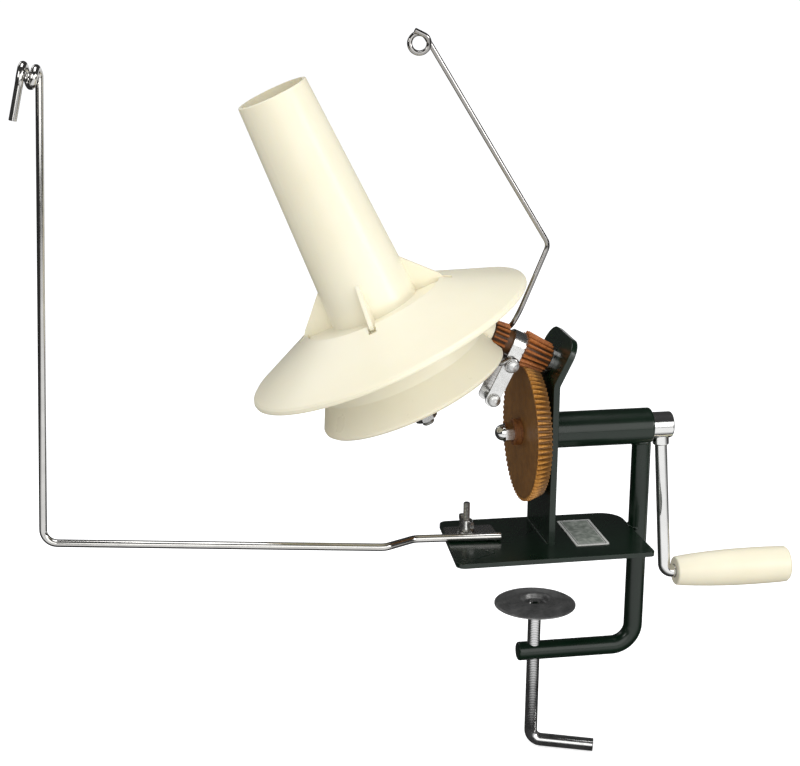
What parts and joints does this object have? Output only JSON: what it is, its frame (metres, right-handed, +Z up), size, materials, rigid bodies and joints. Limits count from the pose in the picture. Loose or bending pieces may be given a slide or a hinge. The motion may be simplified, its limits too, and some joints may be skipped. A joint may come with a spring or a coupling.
{
  "type": "yarn ball winder",
  "caption": "Table-clamped hand yarn winder: crank and bevel gears drive a wire flyer round a tilted spool; swinging thread guide on a wire arm.",
  "frame": {"origin": "underside of the base plate, on the axis of the clamp screw", "axes": "+Z up, the crank shaft lies along X with the crank at +X, +Y away from the viewer"},
  "size_m": [0.516, 0.1908, 0.4921],
  "materials": {
    "green_paint": "gloss enamel",
    "cream": "smooth moulded",
    "fibre": "laminated fibre, machined",
    "steel_bright": "bright plated",
    "steel": "zinc plated",
    "dark_steel": "dark pressed steel",
    "bronze": "sintered bronze",
    "label": "blank foil plate"
  },
  "bodies": {
    "frame": {"base_plate": "green_paint", "name_plate": "label", "upright_bracket": "green_paint", "shaft_tube": "green_paint", "clamp_frame": "green_paint", "bush_left": "bronze", "bush_right": "bronze", "pinion_axle": "steel", "pinion_washer": "steel", "axle_nut": "steel", "pinion_lock_nut": "steel", "gear_housing": "cream", "spool_axle": "steel", "axle_washer_low": "steel", "axle_nut_low": "steel", "axle_washer_top": "steel", "axle_nut_top": "steel", "guide_bolt": "steel"},
    "crank": {"crank_shaft": "steel_bright", "drive_gear": "fibre", "gear_spacer": "dark_steel", "gear_washer": "steel", "gear_nut": "steel_bright", "crank_hub": "steel_bright", "hub_collar": "steel_bright", "crank_arm": "steel_bright", "grip_pin": "steel"},
    "grip": {"crank_grip": "cream"},
    "flyer": {"pinion": "fibre", "flyer_clip": "steel_bright", "clip_bolt_top": "steel", "clip_nut_top": "steel", "clip_bolt_low": "steel", "clip_nut_low": "steel", "clip_spacer": "steel", "flyer_wire": "steel_bright"},
    "spool": {"spool_tube": "cream", "spool_skirt": "cream", "spool_hub": "steel", "spool_gear": "fibre", "hub_screw_1": "steel", "hub_screw_2": "steel", "hub_screw_3": "steel", "gear_screw_1": "steel", "gear_screw_2": "steel", "gear_screw_3": "steel"},
    "guide": {"guide_arm": "steel_bright", "guide_clamp": "steel", "guide_washer": "steel"},
    "wing": {"wing_nut": "steel"},
    "pad": {"clamp_pad": "dark_steel", "pad_rivet": "steel"},
    "screw": {"clamp_screw": "steel_bright"}
  },
  "joints": [
    {"name": "crank_spin", "type": "hinge", "parent": "frame", "child": "crank", "pos_m": [0, 0, 0.0735], "axis": [1, 0, 0], "continuous": true},
    {"name": "grip_spin", "type": "hinge", "parent": "crank", "child": "grip", "pos_m": [0.1384, 0, -0.0318], "axis": [1, 0, 0], "continuous": true},
    {"name": "flyer_spin", "type": "hinge", "parent": "frame", "child": "flyer", "pos_m": [-0.03276, 0, 0.1394], "axis": [-0.9018, 0, 0.4321], "continuous": true},
    {"name": "spool_spin", "type": "hinge", "parent": "frame", "child": "spool", "pos_m": [-0.12294, 0, 0.18261], "axis": [-0.4227, 0.0647, 0.904], "continuous": true},
    {"name": "guide_swivel", "type": "hinge", "parent": "frame", "child": "guide", "pos_m": [-0.04885, 0.001, 0.006], "axis": [0, 0, 1], "range_deg": [-25, 25]},
    {"name": "wing_turn", "type": "hinge", "parent": "guide", "child": "wing", "pos_m": [-0.04885, 0.001, 0.02], "axis": [0, 0, 1], "range_deg": [-90, 180]},
    {"name": "pad_slide", "type": "slide", "parent": "frame", "child": "pad", "axis": [0, 0, 1], "range_m": [-0.018, 0.045]},
    {"name": "screw_turn", "type": "hinge", "parent": "pad", "child": "screw", "pos_m": [0, 0, -0.083], "axis": [0, 0, 1], "range_deg": [-5040, 12900]}
  ],
  "couplings": [
    {"joint": "flyer_spin", "follows": "crank_spin", "ratio": 4.4706},
    {"joint": "spool_spin", "follows": "crank_spin", "ratio": -0.73077},
    {"joint": "pad_slide", "follows": "screw_turn", "m_per_rad": 0.00019894}
  ]
}
